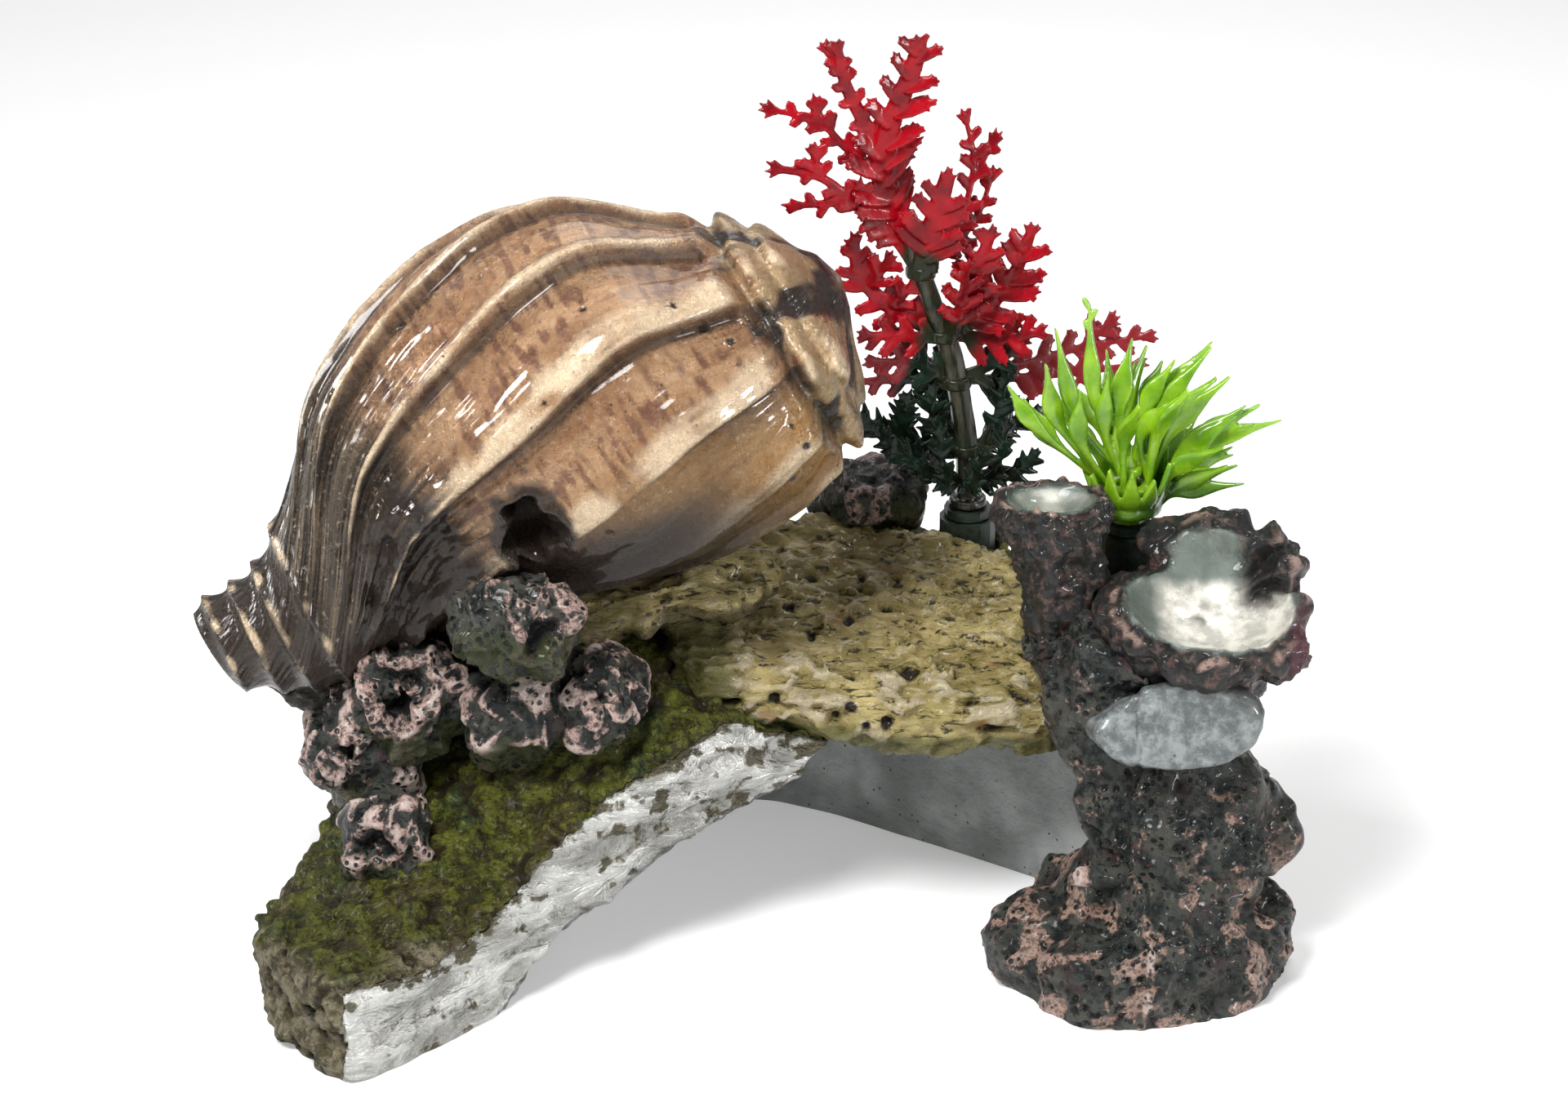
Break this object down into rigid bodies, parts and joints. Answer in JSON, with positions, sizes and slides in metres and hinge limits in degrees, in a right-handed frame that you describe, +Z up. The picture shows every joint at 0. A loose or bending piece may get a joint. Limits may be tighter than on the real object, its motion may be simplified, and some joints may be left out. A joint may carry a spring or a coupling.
{
  "type": "bubbling aquarium ornament",
  "caption": "Cast resin aquarium ornament: a harp shell on a mossy rock cave, with coral cups, a driftwood bridge, push-in plastic plants and an air stone that bubbles through the shell.",
  "frame": {"origin": "middle of the floor area that the ornament covers, on the floor", "axes": "+X along the cave mouth towards the coral column, +Y towards the back, +Z up"},
  "size_m": [0.1528, 0.1014, 0.1251],
  "materials": {
    "mossy_resin": "painted cast resin, sponged with moss greens, rough",
    "bark_resin": "painted cast resin, olive and tan bark, dry brushed",
    "bedding_mortar": "dark sandy resin mortar, rough",
    "bronze_shell": "painted cast resin, bronze and cream, semi gloss lacquer",
    "coral_resin": "painted cast resin, green black with pink brushed crests",
    "cut_branch": "painted cast resin, mottled blue grey, semi gloss",
    "pearl_lacquer": "painted cast resin, silver pearl bowl with a pink brown rim",
    "socket_plastic": "moulded plastic, matte",
    "stem_plastic": "moulded soft plastic, semi gloss",
    "crimson_plastic": "moulded soft plastic, translucent edges",
    "dark_leaf_plastic": "moulded soft plastic, semi gloss",
    "lime_plastic": "moulded soft plastic, semi gloss",
    "clear_plastic": "clear moulded plastic",
    "silicone_tube": "translucent silicone airline",
    "grommet_rubber": "matte rubber",
    "air_stone_grain": "sintered grain, porous"
  },
  "bodies": {
    "ornament": {"harp_shell": "bronze_shell", "sawn_disc": "cut_branch", "branch_peg": "coral_resin", "small_cup": "pearl_lacquer", "pearl_cup": "pearl_lacquer", "coral_column": "coral_resin", "driftwood_bridge": "bark_resin", "coral_double": "coral_resin", "coral_by_mouth": "coral_resin", "coral_ring": "coral_resin", "coral_knobs": "coral_resin", "coral_behind": "coral_resin", "coral_low": "coral_resin", "shell_bedding": "bedding_mortar", "rock_base": "mossy_resin", "inlet_connector": "clear_plastic", "inlet_grommet": "grommet_rubber", "air_tube": "silicone_tube", "air_stone": "air_stone_grain", "air_stone_nipple": "clear_plastic", "red_plant_socket": "socket_plastic", "tuft_socket": "socket_plastic"},
    "red_plant_seat": {"red_plant_plug": "socket_plastic"},
    "red_plant": {"red_plant_stem": "stem_plastic", "red_crown_frond": "crimson_plastic", "red_upper_whorl": "crimson_plastic", "red_middle_whorl": "crimson_plastic", "red_lower_whorl": "dark_leaf_plastic", "red_basal_whorl": "dark_leaf_plastic"},
    "tuft_seat": {"tuft_plug": "socket_plastic"},
    "tuft": {"tuft_stalk": "lime_plastic", "tuft_inner_leaves": "lime_plastic", "tuft_middle_leaves": "lime_plastic", "tuft_outer_leaves": "lime_plastic"}
  },
  "joints": [
    {"name": "red_plant_pull", "type": "slide", "parent": "ornament", "child": "red_plant_seat", "axis": [0, 0, 1], "range_m": [0, 0.012]},
    {"name": "red_plant_turn", "type": "hinge", "parent": "red_plant_seat", "child": "red_plant", "pos_m": [0.0309, 0.03125, 0.047], "axis": [0, 0, 1], "range_deg": [-25, 60]},
    {"name": "tuft_pull", "type": "slide", "parent": "ornament", "child": "tuft_seat", "axis": [0, 0, 1], "range_m": [0, 0.01]},
    {"name": "tuft_turn", "type": "hinge", "parent": "tuft_seat", "child": "tuft", "pos_m": [0.0519, 0.00425, 0.057], "axis": [0, 0, 1], "range_deg": [-45, 45]}
  ]
}
